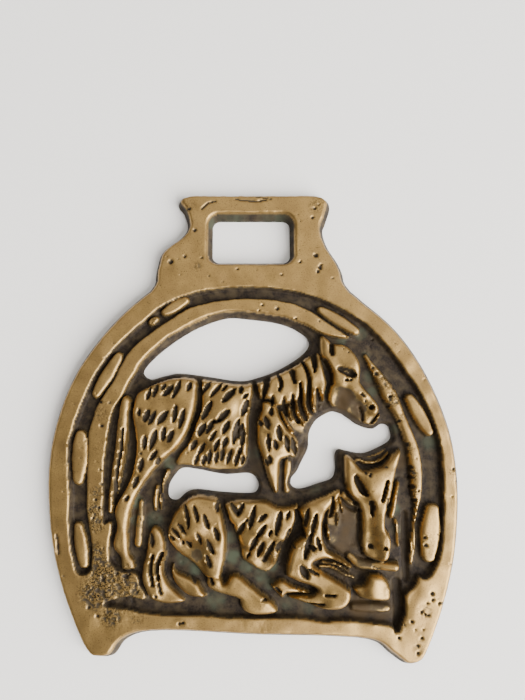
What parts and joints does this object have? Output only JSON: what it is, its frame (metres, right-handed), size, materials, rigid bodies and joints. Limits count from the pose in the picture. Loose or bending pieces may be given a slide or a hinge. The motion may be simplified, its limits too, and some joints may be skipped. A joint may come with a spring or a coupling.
{
  "type": "horse brass",
  "caption": "Cast brass harness ornament: a mare and her lying foal inside an openwork arched frame, with a strap slot above.",
  "frame": {"origin": "on the flat back, under the middle of the object's box", "axes": "the brass lies on its back: +Y from the feet of the frame to the hanger, +X to the right as seen from the front, +Z out of the front"},
  "size_m": [0.0766, 0.0881, 0.0049],
  "materials": {
    "brass": "worn polish on the high places, dark brown patina in the recesses"
  },
  "bodies": {
    "root": {"horse_brass": "brass"}
  },
  "joints": []
}
